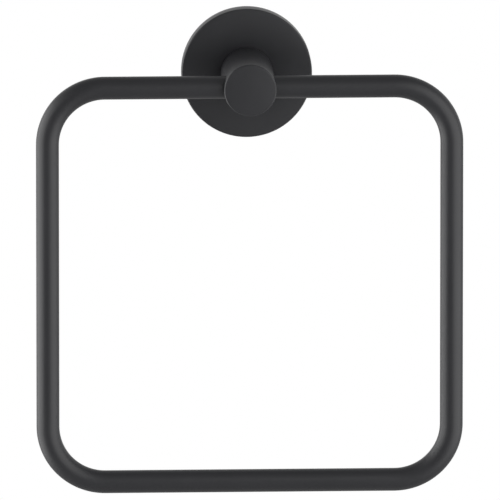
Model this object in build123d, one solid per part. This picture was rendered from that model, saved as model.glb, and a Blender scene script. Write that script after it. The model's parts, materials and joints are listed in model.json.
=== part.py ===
from build123d import *
import os

# A towel ring for a bathroom wall, in millimetres.
# The origin is on the wall, on the post's axis. +X is to the right for someone who faces the wall,
# +Y goes into the wall and +Z is up, so the whole object stands on the -Y side of the wall.

# Wall flange: a shallow turned cup, open to the wall
flange_diameter = 54.2
flange_depth = 7.0
flange_face_wall = 1.6
flange_rim_wall = 2.6
flange_edge_chamfer = 0.4

# Post: a turned bar that stands on the flange's face
post_diameter = 21.7
post_length = 37.4
post_nose_chamfer = 0.4
post_bore_chamfer = 0.5
spigot_clearance = 0.03

# Ring: one length of round bar bent to a rounded square
bar_diameter = 9.5
ring_width = 177.0
ring_height = 176.0
ring_bend_radius = 23.75
bar_tip_chamfer = 0.5

# Swivel sockets: blind cross holes in the post that the ring's two ends turn in
socket_clearance = 0.08
socket_nose_wall = 2.9
socket_web = 6.7
bar_tip_gap = 0.2

# Mounting bracket: a plate on the wall with a stub that the post slides over
plate_rim_gap = 1.2
plate_face_gap = 2.4
stub_diameter = 12.0
stub_reach = 12.0
stub_tip_chamfer = 0.8
stub_clearance = 0.1
stub_end_gap = 0.6
groove_depth = 1.4
wall_screw_hole = 4.5
wall_screw_head = 8.4
wall_screw_edge = 6.3

# Set screw: a cone-pointed grub screw under the post, in the stub's groove
set_screw_diameter = 4.0
set_screw_setback = 6.0
set_screw_recess = 0.7
set_screw_tip = 1.0
set_screw_key = 2.0
set_screw_key_depth = 2.0
thread_clearance = 0.03
groove_clearance = 0.05

# Radii and places that follow from the sizes above
flange_radius = flange_diameter / 2
flange_face_y = -flange_depth
flange_inside_y = flange_face_y + flange_face_wall
cup_radius = flange_radius - flange_rim_wall

post_radius = post_diameter / 2
post_nose_y = flange_face_y - post_length
stub_radius = stub_diameter / 2
bore_radius = stub_radius + stub_clearance
spigot_radius = (post_radius + bore_radius) / 2

bar_radius = bar_diameter / 2
socket_radius = bar_radius + socket_clearance
socket_floor_x = socket_web / 2
ring_axis_y = post_nose_y + socket_nose_wall + socket_radius
bar_tip_x = socket_floor_x + bar_tip_gap
ring_side_x = ring_width / 2 - bar_radius
ring_drop = ring_height - bar_diameter

plate_radius = cup_radius - plate_rim_gap
plate_face_y = flange_inside_y + plate_face_gap
stub_tip_y = flange_face_y - stub_reach
bore_floor_y = stub_tip_y - stub_end_gap
wall_screw_x = plate_radius - wall_screw_edge
set_screw_y = flange_face_y - set_screw_setback
set_screw_radius = set_screw_diameter / 2
groove_radius = stub_radius - groove_depth
set_screw_tip_z = -(groove_radius + set_screw_tip / 2 + groove_clearance)
set_screw_end_z = -(post_radius - set_screw_recess)


def make_wall_flange():
    """The cup, turned about the post's axis, with a hole for the post's spigot."""
    hole_radius = spigot_radius + spigot_clearance
    face_corner = (flange_radius, flange_face_y)
    profile = make_face(
        Polyline(
            (hole_radius, flange_face_y),
            face_corner,
            (flange_radius, 0),
            (cup_radius, 0),
            (cup_radius, flange_inside_y),
            (hole_radius, flange_inside_y),
            close=True,
        )
    )
    profile = chamfer(profile.vertices().sort_by_distance(face_corner)[0], flange_edge_chamfer)
    return revolve(profile, axis=Axis.Y)


def make_post():
    """The turned bar: nose, spigot through the flange, bore for the stub, two sockets and a tapped hole."""
    nose_corner = (post_radius, post_nose_y)
    bore_mouth = (bore_radius, flange_inside_y)
    profile = make_face(
        Polyline(
            (0, post_nose_y),
            nose_corner,
            (post_radius, flange_face_y),
            (spigot_radius, flange_face_y),
            (spigot_radius, flange_inside_y),
            bore_mouth,
            (bore_radius, bore_floor_y),
            (0, bore_floor_y),
            close=True,
        )
    )
    profile = chamfer(profile.vertices().sort_by_distance(nose_corner)[0], post_nose_chamfer)
    profile = chamfer(profile.vertices().sort_by_distance(bore_mouth)[0], post_bore_chamfer)
    post = revolve(profile, axis=Axis.Y)

    socket = Cylinder(socket_radius, post_radius, align=(Align.CENTER, Align.CENTER, Align.MIN))
    for side in (-1, 1):
        post -= Pos(side * socket_floor_x, ring_axis_y, 0) * Rot(0, side * 90, 0) * socket

    tapped_hole = Cylinder(
        set_screw_radius + thread_clearance,
        post_diameter,
        align=(Align.CENTER, Align.CENTER, Align.MAX),
    )
    return post - Pos(0, set_screw_y, 0) * tapped_hole


def make_ring():
    """The bar, swept along straight runs and tangent bends from one socket round to the other."""
    path = FilletPolyline(
        (bar_tip_x, ring_axis_y, 0),
        (ring_side_x, ring_axis_y, 0),
        (ring_side_x, ring_axis_y, -ring_drop),
        (-ring_side_x, ring_axis_y, -ring_drop),
        (-ring_side_x, ring_axis_y, 0),
        (-bar_tip_x, ring_axis_y, 0),
        radius=ring_bend_radius,
    )
    section = Plane(origin=path @ 0, z_dir=path % 0) * Circle(bar_radius)
    bar = sweep(section, path=path)
    tip_edges = [tip.edges() for tip in bar.faces().filter_by(GeomType.PLANE)]
    return chamfer(tip_edges, bar_tip_chamfer)


def make_mounting_bracket():
    """The wall plate and its grooved stub, with two countersunk holes for the wall screws."""
    stub_corner = (stub_radius, stub_tip_y)
    profile = make_face(
        Polyline(
            (0, 0),
            (plate_radius, 0),
            (plate_radius, plate_face_y),
            (stub_radius, plate_face_y),
            (stub_radius, set_screw_y + groove_depth),
            (groove_radius, set_screw_y),
            (stub_radius, set_screw_y - groove_depth),
            stub_corner,
            (0, stub_tip_y),
            close=True,
        )
    )
    profile = chamfer(profile.vertices().sort_by_distance(stub_corner)[0], stub_tip_chamfer)
    bracket = revolve(profile, axis=Axis.Y)

    hole_radius = wall_screw_hole / 2
    head_radius = wall_screw_head / 2
    plate_thickness = -plate_face_y
    sink_depth = head_radius - hole_radius
    from_wall = (Align.CENTER, Align.CENTER, Align.MIN)
    hole = Cylinder(hole_radius, plate_thickness, align=from_wall)
    sink = Cone(hole_radius, head_radius, sink_depth, align=from_wall)
    screw_hole = Rot(90, 0, 0) * (hole + Pos(0, 0, plate_thickness - sink_depth) * sink)
    for side in (-1, 1):
        bracket -= Pos(side * wall_screw_x, 0, 0) * screw_hole
    return bracket


def make_set_screw():
    """The grub screw, point upwards in the stub's groove, with a hexagon socket in its lower end."""
    body_radius = set_screw_radius - thread_clearance
    tip_radius = set_screw_tip / 2
    cone_z = set_screw_tip_z - (body_radius - tip_radius)
    profile = make_face(
        Polyline(
            (0, 0, set_screw_end_z),
            (body_radius, 0, set_screw_end_z),
            (body_radius, 0, cone_z),
            (tip_radius, 0, set_screw_tip_z),
            (0, 0, set_screw_tip_z),
            close=True,
        )
    )
    screw = revolve(profile, axis=Axis.Z)
    key_outline = RegularPolygon(set_screw_key / 2, 6, major_radius=False)
    screw -= extrude(Pos(0, 0, set_screw_end_z) * key_outline, set_screw_key_depth)
    return Pos(0, set_screw_y, 0) * screw


os.makedirs("parts", exist_ok=True)
export_step(make_wall_flange(), "parts/wall_flange.step")
export_step(make_post(), "parts/post.step")
export_step(make_ring(), "parts/ring.step")
export_step(make_mounting_bracket(), "parts/mounting_bracket.step")
export_step(make_set_screw(), "parts/set_screw.step")
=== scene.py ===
import json
import math

import bpy
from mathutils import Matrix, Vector


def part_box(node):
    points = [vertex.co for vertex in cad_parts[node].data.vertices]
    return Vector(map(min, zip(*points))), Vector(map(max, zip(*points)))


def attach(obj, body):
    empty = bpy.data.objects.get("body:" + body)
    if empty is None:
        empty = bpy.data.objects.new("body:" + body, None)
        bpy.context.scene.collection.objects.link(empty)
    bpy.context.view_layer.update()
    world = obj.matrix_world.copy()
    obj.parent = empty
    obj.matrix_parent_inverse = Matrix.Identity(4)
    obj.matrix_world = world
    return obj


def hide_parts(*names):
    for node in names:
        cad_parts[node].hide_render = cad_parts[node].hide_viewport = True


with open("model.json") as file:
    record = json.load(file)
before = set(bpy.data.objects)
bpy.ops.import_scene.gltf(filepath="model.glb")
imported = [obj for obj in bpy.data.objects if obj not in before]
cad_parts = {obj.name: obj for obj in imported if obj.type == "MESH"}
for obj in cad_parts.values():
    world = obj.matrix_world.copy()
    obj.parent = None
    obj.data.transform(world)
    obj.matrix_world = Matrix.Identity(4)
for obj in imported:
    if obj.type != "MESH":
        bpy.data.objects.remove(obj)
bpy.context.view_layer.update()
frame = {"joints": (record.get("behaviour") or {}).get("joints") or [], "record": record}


# Mounting bracket: the hidden steel plate that two countersunk screws hold to the wall.
# It is turned from bar with its stub in one piece, drilled, and zinc plated; the post slides
# over the stub, and the V groove round the stub takes the set screw's point.
bracket_low, bracket_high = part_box("mounting_bracket")
plate_radius = bracket_high.x
plate_thickness = 0.003
plate_edge_break = 0.0002
plate_facets = 128
stub_radius = 0.006
stub_tip_y = bracket_low.y
stub_chamfer = 0.0008
groove_y = -0.013
groove_depth = 0.0014
screw_pattern = frame["record"]["mounts"][0]["dims"]
mm_in_a_metre = 1000
screw_hole_x = screw_pattern["spacing_x_mm"] / 2 / mm_in_a_metre
screw_hole_radius = screw_pattern["hole_r_mm"] / mm_in_a_metre
screw_head_radius = 0.0042
screw_hole_facets = 64
plated_edge_width = 0.00008
plated_edge_steps = 2
zinc_grey = (0.56, 0.57, 0.59, 1)
zinc_blue = (0.47, 0.51, 0.58, 1)
zinc_smooth = 0.26
zinc_rough = 0.42
zinc_grain_size = 0.00025
zinc_cloud_size = 0.012
turning_pitch = 0.00035
turning_waver = 0.6
turning_depth = 0.00002
turning_strength = 0.35
merge_distance = 0.000001
sharp_angle = math.radians(35)
noise_low = 0.3
noise_high = 0.7


def turn_on_lathe(name, profile, facets):
    """A solid turned about the post's axis: a circle is extruded and resized from point to point.

    The profile is a list of (radius, y). It either comes back to its first point or starts and
    ends on flat discs, which are filled.
    """
    bpy.ops.object.select_all(action="DESELECT")
    radius, y = profile[0]
    bpy.ops.mesh.primitive_circle_add(
        vertices=facets, radius=radius, location=(0, y, 0), rotation=(math.pi / 2, 0, 0)
    )
    piece = bpy.context.active_object
    piece.name = name
    piece.data.name = name
    bpy.ops.object.transform_apply(location=True, rotation=True, scale=True)
    bpy.ops.object.mode_set(mode="EDIT")
    bpy.ops.mesh.select_all(action="SELECT")
    for next_radius, next_y in profile[1:]:
        growth = next_radius / radius
        bpy.ops.mesh.extrude_region_move(TRANSFORM_OT_translate={"value": (0, next_y - y, 0)})
        bpy.ops.transform.resize(value=(growth, 1, growth), center_override=(0, next_y, 0))
        radius, y = next_radius, next_y
    close_surface()
    bpy.ops.object.mode_set(mode="OBJECT")
    return piece


def close_surface():
    """In edit mode: merges doubled points, fills the open ends and turns every face outwards."""
    bpy.ops.mesh.select_all(action="SELECT")
    bpy.ops.mesh.remove_doubles(threshold=merge_distance)
    bpy.ops.mesh.fill_holes(sides=0)
    bpy.ops.mesh.select_all(action="SELECT")
    bpy.ops.mesh.normals_make_consistent(inside=False)


def cut_away(piece, tool, shortest_edge=merge_distance):
    """Takes the tool's shape out of the piece, merges slivers, and removes the tool."""
    cut = piece.modifiers.new("cut", "BOOLEAN")
    cut.operation = "DIFFERENCE"
    cut.solver = "EXACT"
    cut.object = tool
    bpy.context.view_layer.objects.active = piece
    bpy.ops.object.modifier_apply(modifier=cut.name)
    bpy.data.objects.remove(tool)
    bpy.ops.object.mode_set(mode="EDIT")
    bpy.ops.mesh.select_all(action="SELECT")
    bpy.ops.mesh.remove_doubles(threshold=shortest_edge)
    bpy.ops.mesh.dissolve_degenerate(threshold=shortest_edge)
    bpy.ops.object.mode_set(mode="OBJECT")


def soften_edges(piece, width, steps):
    """Rounds every sharp edge, as plating and paint do, and shades the faces smooth between them."""
    bevel = piece.modifiers.new("soft_edges", "BEVEL")
    bevel.width = width
    bevel.segments = steps
    bevel.limit_method = "ANGLE"
    bevel.angle_limit = sharp_angle
    bpy.ops.object.select_all(action="DESELECT")
    piece.select_set(True)
    bpy.context.view_layer.objects.active = piece
    bpy.ops.object.modifier_apply(modifier=bevel.name)
    bpy.ops.object.shade_smooth_by_angle(angle=sharp_angle)


def add_node(tree, kind, inputs, **settings):
    """A shader node with its settings made, and each input given a value or linked to a socket."""
    made = tree.nodes.new(kind)
    for name, value in settings.items():
        setattr(made, name, value)
    for name, value in inputs.items():
        if isinstance(value, bpy.types.NodeSocket):
            tree.links.new(value, made.inputs[name])
        else:
            made.inputs[name].default_value = value
    return made


def mix_colours(tree, mask, low, high):
    """The socket of a colour that goes from low to high with the mask."""
    mix = tree.nodes.new("ShaderNodeMix")
    mix.data_type = "RGBA"
    colour_a, colour_b, colour_out = 6, 7, 2
    tree.links.new(mask, mix.inputs["Factor"])
    mix.inputs[colour_a].default_value = low
    mix.inputs[colour_b].default_value = high
    return mix.outputs[colour_out]


def ramp(tree, value, start, end, low, high):
    """The socket of a number that goes from low to high while the value goes from start to end."""
    ranged = add_node(
        tree,
        "ShaderNodeMapRange",
        {"Value": value, "From Min": start, "From Max": end, "To Min": low, "To Max": high},
    )
    return ranged.outputs["Result"]


surface_grain = bpy.data.node_groups.new("surface_grain", "ShaderNodeTree")
for label in ("Grain Size", "Ripple Size", "Cloud Size"):
    surface_grain.interface.new_socket(name=label, in_out="INPUT", socket_type="NodeSocketFloat")
for label in ("Grain", "Ripple", "Cloud"):
    surface_grain.interface.new_socket(name=label, in_out="OUTPUT", socket_type="NodeSocketFloat")
grain_sizes = surface_grain.nodes.new("NodeGroupInput")
grain_places = surface_grain.nodes.new("ShaderNodeTexCoord")
grain_results = surface_grain.nodes.new("NodeGroupOutput")
for label, detail in (("Grain", 2), ("Ripple", 1), ("Cloud", 3)):
    frequency = add_node(
        surface_grain,
        "ShaderNodeMath",
        {0: 1, 1: grain_sizes.outputs[label + " Size"]},
        operation="DIVIDE",
    )
    noise = add_node(
        surface_grain,
        "ShaderNodeTexNoise",
        {"Vector": grain_places.outputs["Object"], "Scale": frequency.outputs[0], "Detail": detail},
    )
    surface_grain.links.new(noise.outputs["Fac"], grain_results.inputs[label])


def start_finish(piece, name, sizes):
    """A new material on the piece: its tree, its shader and the shared grain at the given sizes."""
    finish = bpy.data.materials.new(name)
    finish.use_nodes = True
    tree = finish.node_tree
    grain = add_node(tree, "ShaderNodeGroup", sizes, node_tree=surface_grain)
    piece.data.materials.clear()
    piece.data.materials.append(finish)
    return tree, tree.nodes["Principled BSDF"], grain


def link_finish(tree, shader, tone, roughness, height, strength, depth):
    """Feeds the shader its tone, its roughness and a relief of the given strength and depth."""
    relief = add_node(
        tree, "ShaderNodeBump", {"Height": height, "Strength": strength, "Distance": depth}
    )
    tree.links.new(tone, shader.inputs["Base Color"])
    tree.links.new(roughness, shader.inputs["Roughness"])
    tree.links.new(relief.outputs["Normal"], shader.inputs["Normal"])


bracket = turn_on_lathe(
    "mounting_bracket_plated",
    [
        (stub_radius, 0),
        (plate_radius - plate_edge_break, 0),
        (plate_radius, -plate_edge_break),
        (plate_radius, -plate_thickness + plate_edge_break),
        (plate_radius - plate_edge_break, -plate_thickness),
        (stub_radius, -plate_thickness),
        (stub_radius, groove_y + groove_depth),
        (stub_radius - groove_depth, groove_y),
        (stub_radius, groove_y - groove_depth),
        (stub_radius, stub_tip_y + stub_chamfer),
        (stub_radius - stub_chamfer, stub_tip_y),
    ],
    plate_facets,
)
# The edges are softened before the holes are cut: the short edges of a cut would stop the bevel.
soften_edges(bracket, plated_edge_width, plated_edge_steps)
for side in (-1, 1):
    countersink = turn_on_lathe(
        "countersink",
        [
            (screw_hole_radius + plate_edge_break, plate_edge_break),
            (screw_hole_radius + plate_edge_break, 0),
            (screw_hole_radius, -plate_edge_break),
            (screw_hole_radius, screw_head_radius - screw_hole_radius - plate_thickness),
            (screw_head_radius, -plate_thickness),
            (screw_head_radius, -2 * plate_thickness),
        ],
        screw_hole_facets,
    )
    countersink.location.x = side * screw_hole_x
    cut_away(bracket, countersink)

tree, shader, grain = start_finish(
    bracket, "zinc_plate", {"Grain Size": zinc_grain_size, "Cloud Size": zinc_cloud_size}
)
radians_per_wave_unit = 20
turning = add_node(
    tree,
    "ShaderNodeTexWave",
    {
        "Vector": tree.nodes.new("ShaderNodeTexCoord").outputs["Object"],
        "Scale": math.tau / (radians_per_wave_unit * turning_pitch),
        "Distortion": turning_waver,
        "Detail": 1,
    },
    wave_type="RINGS",
    rings_direction="Y",
)
turned_grain = add_node(
    tree,
    "ShaderNodeMath",
    {0: turning.outputs["Fac"], 1: grain.outputs["Grain"]},
    operation="ADD",
)
link_finish(
    tree,
    shader,
    tone=mix_colours(tree, grain.outputs["Cloud"], zinc_grey, zinc_blue),
    roughness=ramp(tree, grain.outputs["Cloud"], noise_low, noise_high, zinc_smooth, zinc_rough),
    height=turned_grain.outputs[0],
    strength=turning_strength,
    depth=turning_depth,
)
shader.inputs["Metallic"].default_value = 1
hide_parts("mounting_bracket")
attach(bracket, "wall_post")


# Wall flange: the round black cup whose rim lies on the wall and hides the bracket.
# It is turned from steel, with its front edge broken by a small chamfer, brazed to the post
# and powder coated matte black together with it.
flange_low, flange_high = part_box("wall_flange")
flange_radius = flange_high.x
flange_face_y = flange_low.y
flange_chamfer = 0.0004
flange_face_wall = 0.0016
flange_rim_wall = 0.0026
flange_inside_y = flange_face_y + flange_face_wall
cup_radius = flange_radius - flange_rim_wall
rim_edge_break = 0.0002
spigot_hole_radius = 0.008505
flange_facets = 192
flange_cloud_size = 0.014
coat_edge_width = 0.00012
coat_edge_steps = 3
coat_black = (0.0125, 0.0127, 0.015, 1)
coat_worn_black = (0.0185, 0.0188, 0.022, 1)
coat_smooth = 0.41
coat_rough = 0.47
coat_grain_size = 0.00018
coat_ripple_size = 0.0016
coat_relief_depth = 0.00002
coat_relief_strength = 0.3


def coat_black_matte(piece, name, cloud_size):
    """Powder coat: fine grain over a faint orange peel, with a slow drift in tone and gloss."""
    tree, shader, grain = start_finish(
        piece,
        name,
        {"Grain Size": coat_grain_size, "Ripple Size": coat_ripple_size, "Cloud Size": cloud_size},
    )
    coat_height = add_node(
        tree,
        "ShaderNodeMath",
        {0: grain.outputs["Grain"], 1: grain.outputs["Ripple"]},
        operation="ADD",
    )
    link_finish(
        tree,
        shader,
        tone=mix_colours(tree, grain.outputs["Cloud"], coat_black, coat_worn_black),
        roughness=ramp(tree, grain.outputs["Cloud"], noise_low, noise_high, coat_smooth, coat_rough),
        height=coat_height.outputs[0],
        strength=coat_relief_strength,
        depth=coat_relief_depth,
    )


flange = turn_on_lathe(
    "wall_flange_coated",
    [
        (spigot_hole_radius, flange_face_y),
        (flange_radius - flange_chamfer, flange_face_y),
        (flange_radius, flange_face_y + flange_chamfer),
        (flange_radius, -rim_edge_break),
        (flange_radius - rim_edge_break, 0),
        (cup_radius + rim_edge_break, 0),
        (cup_radius, -rim_edge_break),
        (cup_radius, flange_inside_y),
        (spigot_hole_radius, flange_inside_y),
        (spigot_hole_radius, flange_face_y),
    ],
    flange_facets,
)
soften_edges(flange, coat_edge_width, coat_edge_steps)
coat_black_matte(flange, "flange_coat", flange_cloud_size)
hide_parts("wall_flange")
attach(flange, "wall_post")


# Post: the short black bar that stands on the flange and carries the ring.
# It is turned from steel with a spigot at the back, bored for the bracket's stub, cross-drilled
# from both sides for the ring's ends and tapped underneath, then coated with the flange.
post_low, post_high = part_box("post")
post_radius = post_high.x
nose_y = post_low.y
nose_chamfer = 0.0004
spigot_radius = 0.008475
bore_radius = 0.0061
bore_chamfer = 0.0005
stub_end_gap = 0.0006
bore_floor_y = stub_tip_y - stub_end_gap
ring_axis_y = frame["joints"][0]["pos_m"][1]
socket_radius = 0.00483
socket_floor_x = 0.00335
tapped_hole_radius = 0.00203
post_facets = 160
drill_facets = 64
drilled_shortest_edge = 0.00005
post_cloud_size = 0.010


def drill_bit(radius, length, middle, turn):
    """A round bar to cut a hole with: its middle, and the turn that takes it out of the Z direction."""
    bpy.ops.object.select_all(action="DESELECT")
    bpy.ops.mesh.primitive_cylinder_add(
        vertices=drill_facets, radius=radius, depth=length, location=middle, rotation=turn
    )
    bpy.ops.object.transform_apply(location=True, rotation=True, scale=True)
    return bpy.context.active_object


post = turn_on_lathe(
    "post_coated",
    [
        (post_radius - nose_chamfer, nose_y),
        (post_radius, nose_y + nose_chamfer),
        (post_radius, flange_face_y),
        (spigot_radius, flange_face_y),
        (spigot_radius, flange_inside_y),
        (bore_radius + bore_chamfer, flange_inside_y),
        (bore_radius, flange_inside_y - bore_chamfer),
        (bore_radius, bore_floor_y),
    ],
    post_facets,
)
sideways = (0, math.pi / 2, 0)
upright = (0, 0, 0)
for side in (-1, 1):
    socket_middle = (side * (socket_floor_x + post_radius / 2), ring_axis_y, 0)
    socket_bit = drill_bit(socket_radius, post_radius, socket_middle, sideways)
    cut_away(post, socket_bit, drilled_shortest_edge)
tapped_middle = (0, groove_y, -post_radius)
tapping_bit = drill_bit(tapped_hole_radius, post_radius, tapped_middle, upright)
cut_away(post, tapping_bit, drilled_shortest_edge)
soften_edges(post, coat_edge_width, coat_edge_steps)
coat_black_matte(post, "post_coat", post_cloud_size)
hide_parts("post")
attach(post, "wall_post")


# Set screw: the small socket grub screw under the post that holds it on the bracket's stub.
# It is alloy steel with a cut thread, a cone point in the stub's groove and a hexagon socket,
# and it is blackened. It is modelled along Y and then stood upright in its hole.
screw_low, screw_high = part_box("set_screw")
screw_radius = screw_high.x
screw_chamfer = 0.00025
screw_tip_radius = 0.0005
cone_y = screw_high.z - (screw_radius - screw_tip_radius)
screw_facets = 64
thread_pitch = 0.0007
thread_width = 0.8 * thread_pitch
thread_overcut = 0.00002
thread_tool_radius = thread_width / math.sqrt(3)
thread_steps = 48
hexagon_across_flats = 0.002
hexagon_corner_radius = hexagon_across_flats / math.sqrt(3)
hexagon_depth = 0.002
oxide_black = (0.018, 0.018, 0.02, 1)
oxide_brown = (0.045, 0.04, 0.037, 1)
oxide_smooth = 0.32
oxide_rough = 0.5
oxide_metallic = 0.5
oxide_grain_size = 0.00008
oxide_ripple_size = 0.0004
oxide_cloud_size = 0.0015
oxide_relief_depth = 0.00001
oxide_relief_strength = 0.4

set_screw = turn_on_lathe(
    "set_screw_blackened",
    [
        (screw_radius - screw_chamfer, screw_low.z),
        (screw_radius, screw_low.z + screw_chamfer),
        (screw_radius, cone_y),
        (screw_tip_radius, screw_high.z),
    ],
    screw_facets,
)

# The thread is cut by a triangle that is coiled round the screw from below its end to past its point.
bpy.ops.object.select_all(action="DESELECT")
bpy.ops.mesh.primitive_circle_add(
    vertices=3,
    radius=thread_tool_radius,
    location=(screw_radius + thread_overcut - thread_tool_radius / 2, screw_low.z - thread_pitch, 0),
    rotation=(0, 0, math.pi / 2),
)
thread_tool = bpy.context.active_object
bpy.ops.object.transform_apply(location=True, rotation=True, scale=True)
coil = thread_tool.modifiers.new("coil", "SCREW")
coil.axis = "Y"
coil.screw_offset = thread_pitch
coil.iterations = math.ceil((screw_high.z - screw_low.z) / thread_pitch) + 1
coil.steps = thread_steps
coil.render_steps = thread_steps
bpy.ops.object.modifier_apply(modifier=coil.name)
bpy.ops.object.mode_set(mode="EDIT")
close_surface()
bpy.ops.object.mode_set(mode="OBJECT")
cut_away(set_screw, thread_tool)

bpy.ops.object.select_all(action="DESELECT")
bpy.ops.mesh.primitive_cylinder_add(
    vertices=6,
    radius=hexagon_corner_radius,
    depth=2 * hexagon_depth,
    location=(0, screw_low.z, 0),
    rotation=(math.pi / 2, 0, 0),
)
hexagon = bpy.context.active_object
bpy.ops.object.transform_apply(location=True, rotation=True, scale=True)
cut_away(set_screw, hexagon)

# The cuts leave faces with many corners, which are split so that the surface stays closed.
bpy.ops.object.select_all(action="DESELECT")
set_screw.select_set(True)
bpy.context.view_layer.objects.active = set_screw
bpy.ops.object.mode_set(mode="EDIT")
bpy.ops.mesh.select_all(action="DESELECT")
bpy.ops.mesh.select_face_by_sides(number=4, type="GREATER")
bpy.ops.mesh.quads_convert_to_tris(quad_method="BEAUTY", ngon_method="BEAUTY")
bpy.ops.object.mode_set(mode="OBJECT")
set_screw.rotation_euler = (math.pi / 2, 0, 0)
set_screw.location = (0, groove_y, 0)
bpy.ops.object.transform_apply(location=True, rotation=True, scale=True)
bpy.ops.object.shade_smooth_by_angle(angle=sharp_angle)

tree, shader, grain = start_finish(
    set_screw,
    "black_oxide",
    {
        "Grain Size": oxide_grain_size,
        "Ripple Size": oxide_ripple_size,
        "Cloud Size": oxide_cloud_size,
    },
)
link_finish(
    tree,
    shader,
    tone=mix_colours(tree, grain.outputs["Cloud"], oxide_black, oxide_brown),
    roughness=ramp(tree, grain.outputs["Ripple"], noise_low, noise_high, oxide_smooth, oxide_rough),
    height=grain.outputs["Grain"],
    strength=oxide_relief_strength,
    depth=oxide_relief_depth,
)
shader.inputs["Metallic"].default_value = oxide_metallic
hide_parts("set_screw")
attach(set_screw, "wall_post")


# Ring: the rounded square that the towel hangs on, one length of 9.5 mm round bar.
# It is bent cold round a former at the four corners, its chamfered ends are sprung into the
# post's sockets, where they turn, and it is powder coated matte black like the post.
ring_low, ring_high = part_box("ring")
bar_radius = 0.00475
bar_facets = 72
bend_radius = 0.02375
bend_steps = 32
run_step = 0.01
tip_gap = 0.0002
tip_x = socket_floor_x + tip_gap
tip_chamfer = 0.0005
tip_growth = bar_radius / (bar_radius - tip_chamfer)
side_x = ring_high.x - bar_radius
ring_drop = -ring_low.z - bar_radius
corner_x = side_x - bend_radius
corner_top = -bend_radius
corner_bottom = bend_radius - ring_drop
ring_cloud_size = 0.03

bpy.ops.object.select_all(action="DESELECT")
bpy.ops.mesh.primitive_circle_add(
    vertices=bar_facets,
    radius=bar_radius - tip_chamfer,
    location=(tip_x, ring_axis_y, 0),
    rotation=(0, math.pi / 2, 0),
)
ring = bpy.context.active_object
ring.name = "ring_coated"
ring.data.name = "ring_coated"
bpy.ops.object.transform_apply(location=True, rotation=True, scale=True)
bpy.ops.object.mode_set(mode="EDIT")
bpy.ops.mesh.select_all(action="SELECT")


def run_straight(length, direction):
    """Extrudes the bar's open end straight on, in short steps."""
    steps = math.ceil(length / run_step)
    stride = Vector(direction) * (length / steps)
    for _ in range(steps):
        bpy.ops.mesh.extrude_region_move(TRANSFORM_OT_translate={"value": stride})


def bend_corner(centre_x, centre_z):
    """Spins the bar's open end a quarter turn, clockwise from the front, round a corner's centre."""
    bpy.ops.mesh.spin(
        steps=bend_steps,
        angle=math.pi / 2,
        center=(centre_x, ring_axis_y, centre_z),
        axis=(0, -1, 0),
    )


def resize_end(factor, x):
    """Grows or shrinks the bar's open end about the ring's axis, for the chamfer at a tip."""
    bpy.ops.transform.resize(value=(1, factor, factor), center_override=(x, ring_axis_y, 0))


bpy.ops.mesh.extrude_region_move(TRANSFORM_OT_translate={"value": (tip_chamfer, 0, 0)})
resize_end(tip_growth, tip_x + tip_chamfer)
run_straight(corner_x - tip_x - tip_chamfer, (1, 0, 0))
bend_corner(corner_x, corner_top)
run_straight(corner_top - corner_bottom, (0, 0, -1))
bend_corner(corner_x, corner_bottom)
run_straight(2 * corner_x, (-1, 0, 0))
bend_corner(-corner_x, corner_bottom)
run_straight(corner_top - corner_bottom, (0, 0, 1))
bend_corner(-corner_x, corner_top)
run_straight(corner_x - tip_x - tip_chamfer, (1, 0, 0))
bpy.ops.mesh.extrude_region_move(TRANSFORM_OT_translate={"value": (tip_chamfer, 0, 0)})
resize_end(1 / tip_growth, -tip_x)
close_surface()
bpy.ops.object.mode_set(mode="OBJECT")
bpy.ops.object.shade_smooth_by_angle(angle=sharp_angle)
coat_black_matte(ring, "ring_coat", ring_cloud_size)
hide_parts("ring")
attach(ring, "swing_ring")


# Studio: a pale floor well below the ring, a white ground all round and a soft box at each side.
# The room in front is dimmer than the ground behind, as round a camera. The camera is far off
# with a long lens, a little above the ring and to its left.
floor_z = -1.0
floor_size = 16
floor_pale = (0.8, 0.8, 0.8, 1)
floor_glow_start = 0.3
floor_glow_full = 1.2
floor_near_glow = 0.4
floor_gloss = 0.53
white = (1, 1, 1, 1)
ambient_level = 0.16
front_level = 0.2
rear_level = 1
ceiling_level = 0.4
ceiling_start = 0.2
ceiling_full = 0.9


def level_by_ray(tree, for_light, for_gloss, for_camera):
    """The socket of a level: for light on the object, for gloss and glass, and for the camera."""
    path = tree.nodes.new("ShaderNodeLightPath")
    gloss = add_node(
        tree,
        "ShaderNodeMath",
        {0: path.outputs["Is Glossy Ray"], 1: path.outputs["Is Transmission Ray"]},
        operation="MAXIMUM",
    )
    unseen = add_node(
        tree, "ShaderNodeMix", {"Factor": gloss.outputs[0], "A": for_light, "B": for_gloss}
    )
    seen = add_node(
        tree,
        "ShaderNodeMix",
        {"Factor": path.outputs["Is Camera Ray"], "A": unseen.outputs[0], "B": for_camera},
    )
    return seen.outputs[0]


ground = bpy.data.worlds.new("white_ground")
ground.use_nodes = True
bpy.context.scene.world = ground
tree = ground.node_tree
tree.nodes.clear()
direction = add_node(
    tree,
    "ShaderNodeSeparateXYZ",
    {"Vector": tree.nodes.new("ShaderNodeTexCoord").outputs["Generated"]},
)
walls = ramp(tree, direction.outputs["Y"], start=-1, end=1, low=front_level, high=rear_level)
room = ramp(tree, direction.outputs["Z"], ceiling_start, ceiling_full, walls, ceiling_level)
level = level_by_ray(tree, for_light=ambient_level, for_gloss=room, for_camera=1)
sky = add_node(tree, "ShaderNodeBackground", {"Color": white, "Strength": level})
add_node(tree, "ShaderNodeOutputWorld", {"Surface": sky.outputs[0]})

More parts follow.
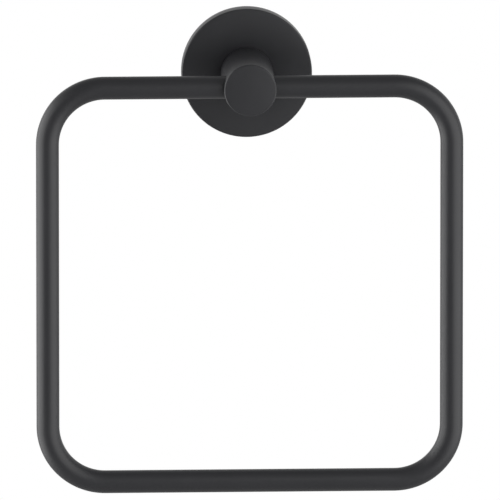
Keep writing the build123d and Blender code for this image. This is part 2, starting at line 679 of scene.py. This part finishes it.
bpy.ops.object.select_all(action="DESELECT")
bpy.ops.mesh.primitive_plane_add(size=floor_size, location=(0, 0, floor_z))
floor = bpy.context.active_object
floor.name = "studio_floor"
floor_finish = bpy.data.materials.new("pale_floor")
floor_finish.use_nodes = True
floor.data.materials.append(floor_finish)
tree = floor_finish.node_tree
tree.nodes.clear()
matt = add_node(tree, "ShaderNodeBsdfDiffuse", {"Color": floor_pale})
floor_place = tree.nodes.new("ShaderNodeTexCoord").outputs["Object"]
away = add_node(tree, "ShaderNodeVectorMath", {0: floor_place}, operation="LENGTH")
glow = ramp(tree, away.outputs["Value"], floor_glow_start, floor_glow_full, floor_near_glow, 1)
share = level_by_ray(tree, for_light=0, for_gloss=1, for_camera=glow)
level = level_by_ray(tree, for_light=0, for_gloss=floor_gloss, for_camera=1)
lit = add_node(tree, "ShaderNodeEmission", {"Color": white, "Strength": level})
from_above = add_node(
    tree, "ShaderNodeMixShader", {"Fac": share, 1: matt.outputs[0], 2: lit.outputs[0]}
)
underside = tree.nodes.new("ShaderNodeNewGeometry").outputs["Backfacing"]
from_below = tree.nodes.new("ShaderNodeBsdfTransparent")
both_sides = add_node(
    tree,
    "ShaderNodeMixShader",
    {"Fac": underside, 1: from_above.outputs[0], 2: from_below.outputs[0]},
)
add_node(tree, "ShaderNodeOutputMaterial", {"Surface": both_sides.outputs[0]})


def soft_box(name, near_bearing, far_bearing, distance, bottom, top, brightness):
    """A soft lamp that faces the ring and spans two bearings.

    The bearings are in degrees from the front, positive to the right. The bottom and top are
    heights above the ring's middle, and the brightness is 1 where the lamp would look just white.
    """
    bearing = math.radians((near_bearing + far_bearing) / 2)
    half_span = math.radians(abs(far_bearing - near_bearing) / 2)
    outward = Vector((math.sin(bearing), -math.cos(bearing), 0))
    width = 2 * distance * math.tan(half_span)
    height = top - bottom
    ring_middle = Vector((0, ring_axis_y, ring_low.z / 2))
    rise = Vector((0, 0, (bottom + top) / 2))
    bpy.ops.object.light_add(type="AREA", location=ring_middle + outward * distance + rise)
    lamp = bpy.context.active_object
    lamp.name = name
    lamp.rotation_mode = "QUATERNION"
    lamp.rotation_quaternion = (-outward).to_track_quat("-Z", "Z")
    lamp.data.shape = "RECTANGLE"
    lamp.data.size = width
    lamp.data.size_y = height
    lamp.data.energy = brightness * math.pi * width * height


soft_box(
    "left_box",
    near_bearing=-53,
    far_bearing=-126,
    distance=0.8,
    bottom=-0.7,
    top=0.5,
    brightness=2.35,
)
soft_box(
    "right_box",
    near_bearing=5.5,
    far_bearing=104,
    distance=1.2,
    bottom=-0.85,
    top=0.85,
    brightness=1.7,
)

camera_azimuth = math.radians(-2.3)
camera_elevation = math.radians(11.6)
camera_lens = 1500
camera_sensor = 36
camera_reach = 50
frame_width = 0.2068
frame_centre_drop = 0.0674
frame_centre_x = 0.00012
camera_distance = frame_width * camera_lens / camera_sensor
camera_back = Vector(
    (
        math.sin(camera_azimuth) * math.cos(camera_elevation),
        -math.cos(camera_azimuth) * math.cos(camera_elevation),
        math.sin(camera_elevation),
    )
)
look = (-camera_back).to_track_quat("-Z", "Y")
camera_up = look @ Vector((0, 1, 0))
camera_target = Vector((frame_centre_x, ring_axis_y, 0)) - camera_up * frame_centre_drop
bpy.ops.object.camera_add(location=camera_target + camera_back * camera_distance)
camera = bpy.context.active_object
camera.rotation_mode = "QUATERNION"
camera.rotation_quaternion = look
camera.data.lens = camera_lens
camera.data.sensor_width = camera_sensor
camera.data.clip_end = camera_reach
bpy.context.scene.camera = camera
bpy.context.scene.view_settings.view_transform = "Standard"
